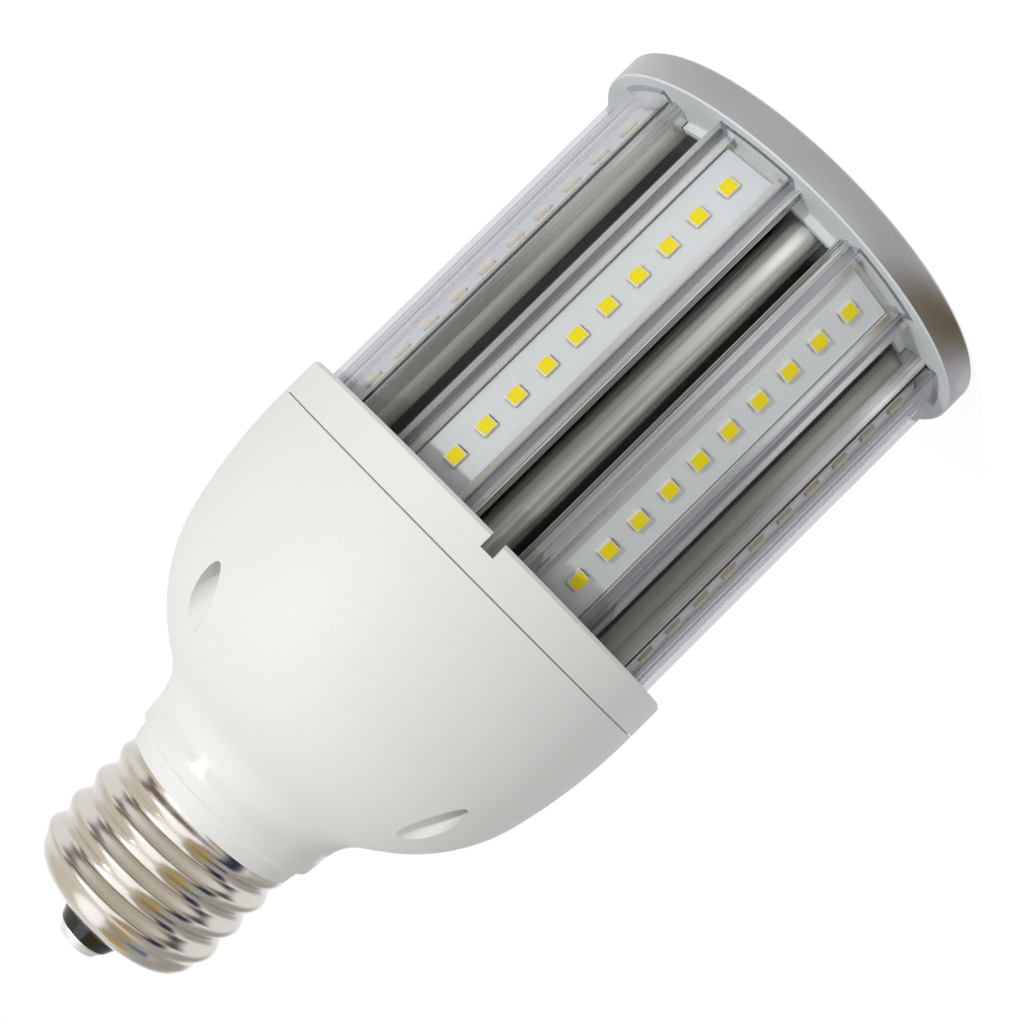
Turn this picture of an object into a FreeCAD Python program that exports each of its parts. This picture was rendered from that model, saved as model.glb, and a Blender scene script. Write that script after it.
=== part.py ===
import FreeCAD, Part
import math
import os
import re
import Sketcher
from FreeCAD import Placement, Rotation, Vector

os.makedirs("parts", exist_ok=True)
doc = FreeCAD.newDocument("CornLamp")

# Driving sizes, in millimetres and degrees. The lamp stands on its end cap with the screw base up,
# so heights count from the cap's face and radii from the lamp's axis.
DRIVING = [
    # end cap
    ("cap_overhang", "2.4"),
    ("cap_height", "6.2"),
    ("cap_edge", "0.6"),
    ("cap_rim", "0.3"),
    ("lug_height", "1.5"),
    ("lug_thickness", "1.3"),
    ("lug_gap", "0.25"),
    # extruded heat sink
    ("strip_count", "8"),
    ("sink_length", "79.8"),
    ("hub_bore_radius", "8.5"),
    ("hub_wall", "2.5"),
    ("web_thickness", "2.4"),
    ("carrier_width", "18.8"),
    ("carrier_plate", "2.4"),
    ("board_seat_radius", "36.6"),
    ("lip_height", "1.9"),
    ("groove_depth", "1.9"),
    ("groove_edge", "0.8"),
    ("groove_floor_wall", "1"),
    ("flange_depth", "4.2"),
    ("flange_thickness", "1.6"),
    ("rib_depth", "0.4"),
    ("rib_width", "0.5"),
    ("rib_pitch", "1"),
    ("rib_count", "3"),
    ("fin_thickness", "1.8"),
    ("fin_head_radius", "3.75"),
    ("fin_setback", "7.4"),
    # boards and their chips
    ("board_width", "10.7"),
    ("board_thickness", "1"),
    ("board_clearance", "0.1"),
    ("board_setback", "1.8"),
    ("board_end_gap", "3.3"),
    ("chip_width", "2.8"),
    ("chip_length", "3.5"),
    ("chip_height", "0.8"),
    ("chip_count", "10"),
    ("chip_first", "5.25"),
    ("chip_last", "5.28"),
    # clear covers
    ("cover_rise", "5.2"),
    ("cover_wall", "1.4"),
    ("cover_clearance", "0.15"),
    # collar
    ("collar_wall", "3.4"),
    ("collar_height", "7.6"),
    ("collar_depth", "4"),
    ("collar_gap", "0.4"),
    ("collar_edge", "0.7"),
    ("notch_width", "2.9"),
    ("notch_depth", "3.1"),
    ("seam_width", "0.3"),
    ("seam_depth", "0.8"),
    ("collar_hole_radius", "6"),
    ("spigot_height", "3"),
    ("spigot_wall", "1.8"),
    # driver housing
    ("housing_wall", "2.2"),
    ("fit_clearance", "0.15"),
    ("dome_bow", "109"),
    ("dome_bow_angle", "14"),
    ("dome_turn", "36.2"),
    ("dome_turn_angle", "38.9"),
    ("neck_radius", "21.8"),
    ("neck_fillet", "9.7"),
    ("neck_taper", "6.6"),
    ("neck_length", "4.7"),
    ("ring_radius", "20.15"),
    ("ring_end_radius", "19.55"),
    ("ring_step", "0.7"),
    ("ring_height", "3.3"),
    ("neck_spigot_reach", "8"),
    ("neck_spigot_wall", "1.5"),
    ("pocket_inset", "6.9"),
    ("pocket_radius", "3.2"),
    ("pocket_floor", "11"),
    ("post_wall", "2.6"),
    ("post_count", "4"),
    # screw base
    ("shell_root_radius", "18.4"),
    ("shell_wall", "0.5"),
    ("shell_length", "23"),
    ("shoulder_radius", "4"),
    ("shoulder_angle", "65"),
    ("crimp_radius", "9.3"),
    ("crimp_rise", "2.8"),
    ("shell_mouth_radius", "7.2"),
    ("shell_mouth_rise", "0.7"),
    ("thread_pitch", "6.35"),
    ("thread_crest_radius", "19.75"),
    ("thread_base_width", "5"),
    ("thread_start", "3.3"),
    ("insulator_depth", "6"),
    ("insulator_rise", "3"),
    ("insulator_edge_radius", "7"),
    ("insulator_end_radius", "5.7"),
    ("contact_radius", "5.1"),
    ("contact_rim", "0.6"),
    ("contact_top_radius", "4.3"),
    ("contact_height", "2"),
    ("contact_stem_radius", "1.5"),
    ("contact_stem_length", "6.5"),
    # screws
    ("screw_circle", "20"),
    ("screw_boss_radius", "3.2"),
    ("screw_radius", "1.4"),
    ("screw_clearance", "0.15"),
    ("screw_head_radius", "2.9"),
    ("screw_head_height", "1.7"),
    ("screw_reach", "9"),
    ("post_screw_radius", "1.6"),
    ("post_screw_head_radius", "2.7"),
    ("post_screw_head_height", "2.4"),
    ("post_screw_reach", "13.6"),
    # driver
    ("driver_board_width", "52"),
    ("driver_board_height", "40"),
    ("driver_board_thickness", "1.6"),
    ("transformer_width", "20"),
    ("transformer_height", "18"),
    ("transformer_depth", "14"),
    ("transformer_place", "8"),
    ("bobbin_overhang", "2.5"),
    ("capacitor_radius", "6"),
    ("capacitor_length", "18"),
    ("choke_radius", "5"),
    ("choke_length", "11"),
    ("component_offset", "15"),
    ("lead_radius", "0.8"),
    ("lead_spacing", "5"),
    ("lead_bend", "4"),
    ("lead_lap", "1.6"),
    ("lead_turn_height", "9"),
]

# Sizes that follow from the driving ones.
FOLLOWING = [
    ("strip_step", "360 / strip_count"),
    ("half_step", "180 / strip_count"),
    ("driver_turn", "half_step + strip_step"),
    ("screw_count", "floor(strip_count / 2)"),
    ("sink_end", "cap_height + sink_length"),
    ("hub_radius", "hub_bore_radius + hub_wall"),
    ("hub_middle", "hub_bore_radius + hub_wall / 2"),
    ("half_carrier", "carrier_width / 2"),
    ("lip_radius", "board_seat_radius + lip_height"),
    ("groove_width", "cover_wall + 2 * cover_clearance"),
    ("groove_outer", "half_carrier - groove_edge"),
    ("groove_inner", "groove_outer - groove_width"),
    ("groove_floor", "lip_radius - groove_depth"),
    ("lip_root", "groove_floor - groove_floor_wall"),
    ("plate_back", "board_seat_radius - carrier_plate"),
    ("board_recess", "board_width / 2 + board_clearance"),
    ("flange_end_x", "half_carrier - flange_depth * sin(half_step)"),
    ("flange_end_y", "lip_root - flange_depth * cos(half_step)"),
    ("flange_back_x", "flange_end_x - flange_thickness * cos(half_step)"),
    ("flange_back_y", "flange_end_y + flange_thickness * sin(half_step)"),
    ("plate_back_x", "flange_back_x + (plate_back - flange_back_y) * tan(half_step)"),
    ("fin_head_place", "board_seat_radius - fin_setback"),
    ("fin_neck", "fin_head_place - sqrt(fin_head_radius ^ 2 - (fin_thickness / 2) ^ 2)"),
    ("board_face", "board_seat_radius + board_thickness"),
    ("board_start", "cap_height + board_setback"),
    ("board_length", "sink_length - board_setback - board_end_gap"),
    ("board_end", "board_start + board_length"),
    ("chip_pitch", "(board_length - chip_first - chip_last) / (chip_count - 1)"),
    ("cover_half", "groove_outer - cover_clearance"),
    ("cover_half_inner", "cover_half - cover_wall"),
    ("cover_radius", "board_seat_radius + cover_rise"),
    ("cover_inner_radius", "cover_radius - cover_wall"),
    ("cover_foot", "groove_floor + cover_clearance"),
    ("cover_edge_y", "sqrt(cover_radius ^ 2 - cover_half ^ 2)"),
    ("cover_edge_inner_y", "sqrt(cover_inner_radius ^ 2 - cover_half_inner ^ 2)"),
    ("cap_radius", "cover_radius + cap_overhang"),
    ("channel_half", "lip_root * sin(half_step) - half_carrier * cos(half_step)"),
    ("lug_half", "channel_half - lug_gap"),
    ("lug_inner_radius", "fin_head_place + fin_head_radius + lug_gap"),
    ("lug_outer_radius", "lug_inner_radius + lug_thickness"),
    ("collar_start", "sink_end - collar_depth"),
    ("collar_end", "collar_start + collar_height"),
    ("collar_bore", "cover_radius + collar_gap"),
    ("collar_radius", "collar_bore + collar_wall"),
    ("collar_floor", "collar_end - sink_end"),
    ("spigot_radius", "collar_radius - housing_wall - fit_clearance"),
    ("dome_start", "collar_end + seam_width"),
    ("dome_angle", "dome_bow_angle + dome_turn_angle"),
    ("bow_x", "collar_radius - dome_bow * (1 - cos(dome_bow_angle))"),
    ("bow_z", "dome_start + dome_bow * sin(dome_bow_angle)"),
    ("turn_x", "bow_x - dome_turn * (cos(dome_bow_angle) - cos(dome_angle))"),
    ("turn_z", "bow_z + dome_turn * (sin(dome_angle) - sin(dome_bow_angle))"),
    ("slope_x", "neck_radius + neck_fillet * (cos(neck_taper) - cos(dome_angle))"),
    ("dome_slope", "(turn_x - slope_x) / sin(dome_angle)"),
    ("slope_z", "turn_z + dome_slope * cos(dome_angle)"),
    ("fillet_z", "slope_z + neck_fillet * (sin(dome_angle) - sin(neck_taper))"),
    ("neck_x", "neck_radius - neck_length * sin(neck_taper)"),
    ("neck_z", "fillet_z + neck_length * cos(neck_taper)"),
    ("ring_start", "neck_z + ring_step"),
    ("shell_start", "ring_start + ring_height"),
    ("shell_bore", "shell_root_radius - shell_wall"),
    ("neck_spigot_radius", "shell_bore - fit_clearance"),
    ("neck_bore", "neck_spigot_radius - neck_spigot_wall"),
    ("pocket_circle", "collar_radius - pocket_inset"),
    ("post_radius", "pocket_radius + post_wall"),
    ("post_step", "360 / post_count"),
    ("post_x", "pocket_circle * cos(post_step / 2)"),
    ("post_y", "pocket_circle * sin(post_step / 2)"),
    ("shell_end", "shell_start + shell_length"),
    ("shoulder_centre", "shell_root_radius - shoulder_radius"),
    ("shoulder_x", "shoulder_centre + shoulder_radius * cos(shoulder_angle)"),
    ("shoulder_z", "shell_end + shoulder_radius * sin(shoulder_angle)"),
    ("crimp_z", "shoulder_z + crimp_rise"),
    ("shell_tip", "crimp_z + shell_mouth_rise"),
    ("thread_turns", "(shell_length - thread_start) / thread_pitch"),
    ("thread_base", "shell_root_radius - shell_wall / 2"),
    ("thread_rise", "thread_crest_radius - thread_base"),
    ("thread_round", "(thread_base_width ^ 2 / 4 + thread_rise ^ 2) / (2 * thread_rise)"),
    ("thread_middle", "shell_start + thread_start"),
    ("insulator_end", "shell_tip + insulator_rise"),
    ("stem_end", "insulator_end - contact_stem_length"),
    ("driver_top", "collar_end + driver_board_height"),
    ("lead_radius_place", "board_face + lead_radius"),
]

sheet = doc.addObject("Spreadsheet::Sheet", "Sizes")
names = []


def fill_row(alias, content):
    """Write one named size on the sheet's next row."""
    names.append(alias)
    row = len(names)
    sheet.set(f"A{row}", alias)
    sheet.set(f"B{row}", content)
    sheet.setAlias(f"B{row}", alias)


for alias, text in DRIVING:
    fill_row(alias, text)
doc.recompute()
for alias, formula in FOLLOWING:
    fill_row(alias, "=" + formula)
doc.recompute()


def number(formula):
    """The present value of a formula over the sheet's names."""
    sheet.set("D1", "=" + formula)
    sheet.recompute()
    return float(sheet.get("D1"))


def bound(formula):
    """The same formula as the sheet's names are written from other objects."""
    return re.sub(r"[a-z_]+", lambda word: "Sizes." + word[0] if word[0] in names else word[0], formula)


def tie(thing, **formulas):
    """Bind properties of an object to formulas."""
    for name, formula in formulas.items():
        thing.setExpression(name, bound(formula))


def new_body(label, turn="0"):
    """A piece of its own, turned about the lamp's axis."""
    body = doc.addObject("PartDesign::Body", label)
    body.Label = label
    body.AllowCompound = True
    body.Placement = Placement(Vector(), Rotation(Vector(0, 0, 1), number(turn)))
    body.setExpression("Placement.Rotation.Angle", bound(turn))
    return body


def origin_feature(body, role):
    """One of the planes or axes of a body's own origin."""
    return next(item for item in body.Origin.OriginFeatures if item.Role == role)


def new_sketch(body, name, plane, lift="0", turn="0"):
    """A sketch on one of the body's origin planes, lifted along and turned about the plane's normal."""
    sketch = body.newObject("Sketcher::SketchObject", name)
    sketch.AttachmentSupport = (origin_feature(body, plane), [""])
    sketch.MapMode = "FlatFace"
    sketch.AttachmentOffset = Placement(Vector(0, 0, number(lift)), Rotation(Vector(0, 0, 1), number(turn)))
    sketch.setExpression("AttachmentOffset.Base.z", bound(lift))
    sketch.setExpression("AttachmentOffset.Rotation.Angle", bound(turn))
    return sketch


def fix_point(sketch, edge, end, x, y):
    """Hold a point of an edge at formulas x and y."""
    if x == "0":
        sketch.addConstraint(Sketcher.Constraint("PointOnObject", edge, end, -2))
    else:
        index = sketch.addConstraint(Sketcher.Constraint("DistanceX", -1, 1, edge, end, number(x)))
        sketch.setExpression(f"Constraints[{index}]", bound(x))
    if y == "0":
        sketch.addConstraint(Sketcher.Constraint("PointOnObject", edge, end, -1))
    else:
        index = sketch.addConstraint(Sketcher.Constraint("DistanceY", -1, 1, edge, end, number(y)))
        sketch.setExpression(f"Constraints[{index}]", bound(y))


def draw_closed(sketch, corners):
    """Join corners in turn. A corner is (x, y), or (x, y, arc) where an arc runs to the next corner:
    arc is (radius, centre x, centre y, +1 for counter-clockwise or -1)."""
    points = [Vector(number(corner[0]), number(corner[1]), 0) for corner in corners]
    first_ends = []
    last_ends = []
    for place, corner in enumerate(corners):
        start = points[place]
        end = points[(place + 1) % len(points)]
        if len(corner) == 2:
            edge = sketch.addGeometry(Part.LineSegment(start, end), False)
            first_ends.append((edge, 1))
            last_ends.append((edge, 2))
            continue
        radius, centre_x, centre_y, sense = corner[2]
        centre = Vector(number(centre_x), number(centre_y), 0)
        low, high = (start, end) if sense > 0 else (end, start)
        angles = [math.atan2(point.y - centre.y, point.x - centre.x) for point in (low, high)]
        circle = Part.Circle(centre, Vector(0, 0, 1), number(radius))
        edge = sketch.addGeometry(Part.ArcOfCircle(circle, angles[0], angles[1]), False)
        first_ends.append((edge, 1 if sense > 0 else 2))
        last_ends.append((edge, 2 if sense > 0 else 1))
        index = sketch.addConstraint(Sketcher.Constraint("Radius", edge, number(radius)))
        sketch.setExpression(f"Constraints[{index}]", bound(radius))
    for place, corner in enumerate(corners):
        before = last_ends[place - 1]
        after = first_ends[place]
        sketch.addConstraint(Sketcher.Constraint("Coincident", *before, *after))
        fix_point(sketch, *after, corner[0], corner[1])


def draw_rectangle(sketch, left, right, low, high):
    """A rectangle between four formulas."""
    draw_closed(sketch, [(left, low), (right, low), (right, high), (left, high)])


def draw_circle(sketch, x, y, radius):
    """A circle round formulas x and y."""
    circle = Part.Circle(Vector(number(x), number(y), 0), Vector(0, 0, 1), number(radius))
    edge = sketch.addGeometry(circle, False)
    index = sketch.addConstraint(Sketcher.Constraint("Radius", edge, number(radius)))
    sketch.setExpression(f"Constraints[{index}]", bound(radius))
    fix_point(sketch, edge, 3, x, y)


def pad(body, sketch, length):
    """Extrude a sketch along its normal."""
    feature = body.newObject("PartDesign::Pad", sketch.Name + "Pad")
    feature.Profile = sketch
    tie(feature, Length=length)
    return feature


def revolve(body, sketch):
    """Turn a sketch once round the lamp's axis."""
    feature = body.newObject("PartDesign::Revolution", sketch.Name + "Turned")
    feature.Profile = sketch
    feature.ReferenceAxis = (sketch, ["V_Axis"])
    feature.Angle = 360
    return feature


def shape_cylinder(body, kind, x, y, z, radius, height):
    """Add or take away an upright cylinder."""
    feature = body.newObject(f"PartDesign::{kind}Cylinder", kind + "Round")
    tie(feature, Radius=radius, Height=height)
    for axis, formula in (("x", x), ("y", y), ("z", z)):
        feature.setExpression(f"Placement.Base.{axis}", bound(formula))
    return feature


def repeat_round(body, features, count, step):
    """Repeat features round the lamp's axis, a step of so many degrees apart."""
    pattern = body.newObject("PartDesign::PolarPattern", "Round")
    pattern.Originals = features
    pattern.Axis = (origin_feature(body, "Z_Axis"), [""])
    pattern.Mode = "Spacing"
    tie(pattern, Offset=step, Occurrences=count)
    body.Tip = pattern


def repeat_along(body, features, length, count):
    """Repeat features evenly along the lamp's axis."""
    pattern = body.newObject("PartDesign::LinearPattern", "Row")
    pattern.Originals = features
    pattern.Direction = (origin_feature(body, "Z_Axis"), [""])
    tie(pattern, Length=length, Occurrences=count)
    body.Tip = pattern


def across_x(turn, across, out):
    """Where a point lies along X: out from the axis in a turned direction, and across it."""
    return f"({across}) * cos({turn}) - ({out}) * sin({turn})"


def across_y(turn, across, out):
    """Where the same point lies along Y."""
    return f"({across}) * sin({turn}) + ({out}) * cos({turn})"


def make_end_cap():
    """Cast disc with a lug in the mouth of each channel and four countersunk holes in its face."""
    body = new_body("end_cap")
    disc = new_sketch(body, "CapSection", "XZ_Plane")
    draw_closed(disc, [
        ("0", "0"),
        ("cap_radius - cap_edge", "0"),
        ("cap_radius", "cap_edge"),
        ("cap_radius", "cap_height - cap_rim"),
        ("cap_radius - cap_rim", "cap_height"),
        ("0", "cap_height"),
    ])
    revolve(body, disc)
    foot = new_sketch(body, "LugOutline", "XY_Plane", "cap_height")
    draw_rectangle(foot, "-lug_half", "lug_half", "lug_inner_radius", "lug_outer_radius")
    repeat_round(body, [pad(body, foot, "lug_height")], "strip_count", "strip_step")
    x = across_x("half_step", "0", "screw_circle")
    y = across_y("half_step", "0", "screw_circle")
    hole = shape_cylinder(body, "Subtractive", x, y, "0", "screw_radius + screw_clearance", "cap_height")
    sink = body.newObject("PartDesign::SubtractiveCone", "Countersink")
    tie(
        sink,
        Radius1="screw_head_radius + screw_clearance",
        Radius2="screw_radius + screw_clearance",
        Height="screw_head_height + screw_clearance",
    )
    sink.setExpression("Placement.Base.x", bound(x))
    sink.setExpression("Placement.Base.y", bound(y))
    repeat_round(body, [hole, sink], "screw_count", "2 * strip_step")


def make_heat_sink():
    """Extruded star: a hub, a web and a grooved carrier for each board, and round-headed fins between."""
    body = new_body("heat_sink", "half_step")
    hub = new_sketch(body, "HubSection", "XY_Plane", "cap_height")
    draw_circle(hub, "0", "0", "hub_radius")
    draw_circle(hub, "0", "0", "hub_bore_radius")
    pad(body, hub, "sink_length")

    carrier = new_sketch(body, "CarrierSection", "XY_Plane", "cap_height")
    right_half = [
        ("web_thickness / 2", "hub_middle"),
        ("web_thickness / 2", "plate_back"),
        ("plate_back_x", "plate_back"),
        ("flange_back_x", "flange_back_y"),
        ("flange_end_x", "flange_end_y"),
        ("half_carrier", "lip_root"),
        ("half_carrier", "lip_radius"),
        ("groove_outer", "lip_radius"),
        ("groove_outer", "groove_floor"),
        ("groove_inner", "groove_floor"),
        ("groove_inner", "lip_radius"),
        ("board_recess", "lip_radius"),
        ("board_recess", "board_seat_radius"),
    ]
    left_half = [(f"-({x})", y) for x, y in reversed(right_half)]
    draw_closed(carrier, right_half + left_half)
    carrier_pad = pad(body, carrier, "sink_length")

    ribs = new_sketch(body, "RibSection", "XY_Plane", "cap_height")
    for place in range(round(number("rib_count"))):
        high = f"lip_radius - rib_width / 2 - {place} * rib_pitch"
        low = f"{high} - rib_width"
        draw_rectangle(ribs, "groove_outer + groove_edge / 2", "half_carrier + rib_depth", low, high)
        draw_rectangle(ribs, "-half_carrier - rib_depth", "-groove_outer - groove_edge / 2", low, high)
    rib_pad = pad(body, ribs, "sink_length")
    repeat_round(body, [carrier_pad, rib_pad], "strip_count", "strip_step")

    fin = new_sketch(body, "FinSection", "XY_Plane", "cap_height", "half_step")
    draw_closed(fin, [
        ("-fin_thickness / 2", "hub_middle"),
        ("fin_thickness / 2", "hub_middle"),
        ("fin_thickness / 2", "fin_neck", ("fin_head_radius", "0", "fin_head_place", 1)),
        ("-fin_thickness / 2", "fin_neck"),
    ])
    repeat_round(body, [pad(body, fin, "sink_length")], "strip_count", "strip_step")

    boss_place = ("0", "screw_circle", "cap_height")
    boss = shape_cylinder(body, "Additive", *boss_place, "screw_boss_radius", "sink_length")
    repeat_round(body, [boss], "screw_count", "2 * strip_step")
    bore_radius = "screw_radius + screw_clearance"
    bore = shape_cylinder(body, "Subtractive", *boss_place, bore_radius, "sink_length")
    repeat_round(body, [bore], "screw_count", "2 * strip_step")


def make_board(index):
    """Flat board on its carrier, between the two lips."""
    body = new_body(f"led_board_{index + 1}", f"half_step + {index} * strip_step")
    section = new_sketch(body, f"BoardSection{index + 1}", "XY_Plane", "board_start")
    draw_rectangle(section, "-board_width / 2", "board_width / 2", "board_seat_radius", "board_face")
    pad(body, section, "board_length")


def make_chips(index):
    """Row of light-emitting packages soldered on a board."""
    body = new_body(f"led_chips_{index + 1}", f"half_step + {index} * strip_step")
    first_edge = "board_start + chip_first - chip_length / 2"
    section = new_sketch(body, f"ChipSection{index + 1}", "XY_Plane", first_edge)
    draw_rectangle(section, "-chip_width / 2", "chip_width / 2", "board_face", "board_face + chip_height")
    chip = pad(body, section, "chip_length")
    repeat_along(body, [chip], "(chip_count - 1) * chip_pitch", "chip_count")


def make_cover(index):
    """Clear arch over a board, its two feet in the carrier's grooves."""
    body = new_body(f"clear_cover_{index + 1}", f"half_step + {index} * strip_step")
    section = new_sketch(body, f"CoverSection{index + 1}", "XY_Plane", "cap_height")
    draw_closed(section, [
        ("cover_half", "cover_edge_y", ("cover_radius", "0", "0", 1)),
        ("-cover_half", "cover_edge_y"),
        ("-cover_half", "cover_foot"),
        ("-cover_half_inner", "cover_foot"),
        ("-cover_half_inner", "cover_edge_inner_y", ("cover_inner_radius", "0", "0", -1)),
        ("cover_half_inner", "cover_edge_inner_y"),
        ("cover_half_inner", "cover_foot"),
        ("cover_half", "cover_foot"),
    ])
    pad(body, section, "sink_length")


def make_collar():
    """Moulded ring round the end of the heat sink, with a floor, a spigot for the housing and a notch."""
    body = new_body("collar_ring")
    section = new_sketch(body, "CollarSection", "XZ_Plane")
    draw_closed(section, [
        ("collar_hole_radius", "sink_end"),
        ("collar_bore", "sink_end"),
        ("collar_bore", "collar_start"),
        ("collar_radius - collar_edge", "collar_start"),
        ("collar_radius", "collar_start + collar_edge"),
        ("collar_radius", "collar_end"),
        ("spigot_radius", "collar_end"),
        ("spigot_radius", "collar_end + spigot_height"),
        ("spigot_radius - spigot_wall", "collar_end + spigot_height"),
        ("spigot_radius - spigot_wall", "collar_end"),
        ("collar_hole_radius", "collar_end"),
    ])
    revolve(body, section)
    notch = body.newObject("PartDesign::SubtractiveBox", "Notch")
    tie(notch, Length="notch_width", Width="collar_wall + 2 * notch_width", Height="notch_depth")
    notch.setExpression("Placement.Base.x", bound("-notch_width / 2"))
    notch.setExpression("Placement.Base.y", bound("-collar_radius - notch_width"))
    notch.setExpression("Placement.Base.z", bound("collar_start"))
    body.Tip = notch

    floor_hole = "screw_radius + screw_clearance"
    x = across_x("half_step", "0", "screw_circle")
    y = across_y("half_step", "0", "screw_circle")
    sink_hole = shape_cylinder(body, "Subtractive", x, y, "sink_end", floor_hole, "collar_floor")
    repeat_round(body, [sink_hole], "screw_count", "2 * strip_step")
    post = ("post_x", "post_y")
    pilot = shape_cylinder(
        body, "Subtractive", *post, "sink_end", "post_screw_radius + screw_clearance", "collar_floor"
    )
    gap = shape_cylinder(
        body, "Subtractive", *post, "collar_end", "post_radius + fit_clearance", "spigot_height"
    )
    repeat_round(body, [pilot, gap], "post_count", "post_step")
    for side in ("-lead_spacing / 2", "lead_spacing / 2"):
        x = across_x("driver_turn", side, "lead_radius_place")
        y = across_y("driver_turn", side, "lead_radius_place")
        lead_hole = "lead_radius + fit_clearance"
        body.Tip = shape_cylinder(body, "Subtractive", x, y, "sink_end", lead_hole, "collar_floor")


def make_housing():
    """Moulded dome and neck: the outer form with four screw pockets, less a core that leaves four posts."""
    bow_centre = ("collar_radius - dome_bow", "dome_start")
    turn_centre = (
        "bow_x - dome_turn * cos(dome_bow_angle)",
        "bow_z - dome_turn * sin(dome_bow_angle)",
    )
    fillet_centre = (
        "slope_x + neck_fillet * cos(dome_angle)",
        "slope_z + neck_fillet * sin(dome_angle)",
    )
    post = ("post_x", "post_y")

    form = new_body("housing_form")
    outside = new_sketch(form, "HousingOutside", "XZ_Plane")
    draw_closed(outside, [
        ("0", "collar_end"),
        ("collar_radius - seam_depth", "collar_end"),
        ("collar_radius - seam_depth", "dome_start"),
        ("collar_radius", "dome_start", ("dome_bow", *bow_centre, 1)),
        ("bow_x", "bow_z", ("dome_turn", *turn_centre, 1)),
        ("turn_x", "turn_z"),
        ("slope_x", "slope_z", ("neck_fillet", *fillet_centre, -1)),
        ("neck_radius", "fillet_z"),
        ("neck_x", "neck_z"),
        ("ring_radius", "ring_start"),
        ("ring_end_radius", "shell_start"),
        ("neck_spigot_radius", "shell_start"),
        ("neck_spigot_radius", "shell_start + neck_spigot_reach"),
        ("0", "shell_start + neck_spigot_reach"),
    ])
    revolve(form, outside)
    pocket = shape_cylinder(
        form, "Subtractive", *post, "collar_end + pocket_floor", "pocket_radius", "shell_start - collar_end"
    )
    hole = shape_cylinder(
        form, "Subtractive", *post, "collar_end", "post_screw_radius + screw_clearance", "pocket_floor"
    )
    repeat_round(form, [pocket, hole], "post_count", "post_step")

    core = new_body("housing_core")
    inside = new_sketch(core, "HousingInside", "XZ_Plane")
    inner_turn = "dome_turn - housing_wall"
    draw_closed(inside, [
        ("0", "collar_end"),
        ("collar_radius - housing_wall", "collar_end"),
        ("collar_radius - housing_wall", "dome_start", ("dome_bow - housing_wall", *bow_centre, 1)),
        (
            "bow_x - housing_wall * cos(dome_bow_angle)",
            "bow_z - housing_wall * sin(dome_bow_angle)",
            (inner_turn, *turn_centre, 1),
        ),
        ("turn_x - housing_wall * cos(dome_angle)", "turn_z - housing_wall * sin(dome_angle)"),
        (
            "slope_x - housing_wall * cos(dome_angle)",
            "slope_z - housing_wall * sin(dome_angle)",
            ("neck_fillet + housing_wall", *fillet_centre, -1),
        ),
        ("neck_radius - housing_wall * cos(neck_taper)", "fillet_z - housing_wall * sin(neck_taper)"),
        ("neck_radius - housing_wall * cos(neck_taper)", "neck_z - housing_wall"),
        ("neck_bore", "neck_z - housing_wall"),
        ("neck_bore", "shell_start + neck_spigot_reach"),
        ("0", "shell_start + neck_spigot_reach"),
    ])
    revolve(core, inside)
    standing = shape_cylinder(
        core, "Subtractive", *post, "collar_end", "post_radius", "shell_start - collar_end"
    )
    repeat_round(core, [standing], "post_count", "post_step")

    housing = doc.addObject("Part::Cut", "driver_housing")
    housing.Label = "driver_housing"
    housing.Base = form
    housing.Tool = core


def make_screw_shell():
    """Thin pressed shell: a rounded thread rolled into it, and a shoulder closing on the insulator."""
    body = new_body("screw_shell")
    section = new_sketch(body, "ShellSection", "XZ_Plane")
    inner_shoulder = "shoulder_radius - shell_wall"
    draw_closed(section, [
        ("shell_bore", "shell_start"),
        ("shell_root_radius", "shell_start"),
        ("shell_root_radius", "shell_end", ("shoulder_radius", "shoulder_centre", "shell_end", 1)),
        ("shoulder_x", "shoulder_z"),
        ("crimp_radius", "crimp_z"),
        ("shell_mouth_radius", "shell_tip"),
        ("shell_mouth_radius", "shell_tip - shell_wall"),
        ("crimp_radius", "crimp_z - shell_wall"),
        (
            f"shoulder_centre + ({inner_shoulder}) * cos(shoulder_angle)",
            f"shell_end + ({inner_shoulder}) * sin(shoulder_angle)",
            (inner_shoulder, "shoulder_centre", "shell_end", -1),
        ),
        ("shell_bore", "shell_end"),
    ])
    revolve(body, section)
    ridge = new_sketch(body, "ThreadSection", "XZ_Plane")
    draw_closed(ridge, [
        (
            "thread_base",
            "thread_middle - thread_base_width / 2",
            ("thread_round", "thread_crest_radius - thread_round", "thread_middle", 1),
        ),
        ("thread_base", "thread_middle + thread_base_width / 2"),
    ])
    thread = body.newObject("PartDesign::AdditiveHelix", "Thread")
    thread.Profile = ridge
    thread.ReferenceAxis = (ridge, ["V_Axis"])
    thread.Mode = "pitch-turns-angle"
    tie(thread, Pitch="thread_pitch", Turns="thread_turns")
    thread.LeftHanded = False
    body.Tip = thread


def make_base_end():
    """Insulator plugged into the shell's mouth, and the contact riveted through it."""
    insulator = new_body("base_insulator")
    section = new_sketch(insulator, "InsulatorSection", "XZ_Plane")
    plug = "shell_mouth_radius - fit_clearance"
    stem_hole = "contact_stem_radius + fit_clearance"
    draw_closed(section, [
        (stem_hole, "shell_tip - insulator_depth"),
        (plug, "shell_tip - insulator_depth"),
        (plug, "shell_tip"),
        ("insulator_edge_radius", "shell_tip"),
        ("insulator_end_radius", "insulator_end"),
        (stem_hole, "insulator_end"),
    ])
    revolve(insulator, section)

    contact = new_body("centre_contact")
    section = new_sketch(contact, "ContactSection", "XZ_Plane")
    draw_closed(section, [
        ("0", "stem_end"),
        ("contact_stem_radius", "stem_end"),
        ("contact_stem_radius", "insulator_end"),
        ("contact_radius", "insulator_end"),
        ("contact_radius", "insulator_end + contact_rim"),
        ("contact_top_radius", "insulator_end + contact_height"),
        ("0", "insulator_end + contact_height"),
    ])
    revolve(contact, section)


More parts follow.
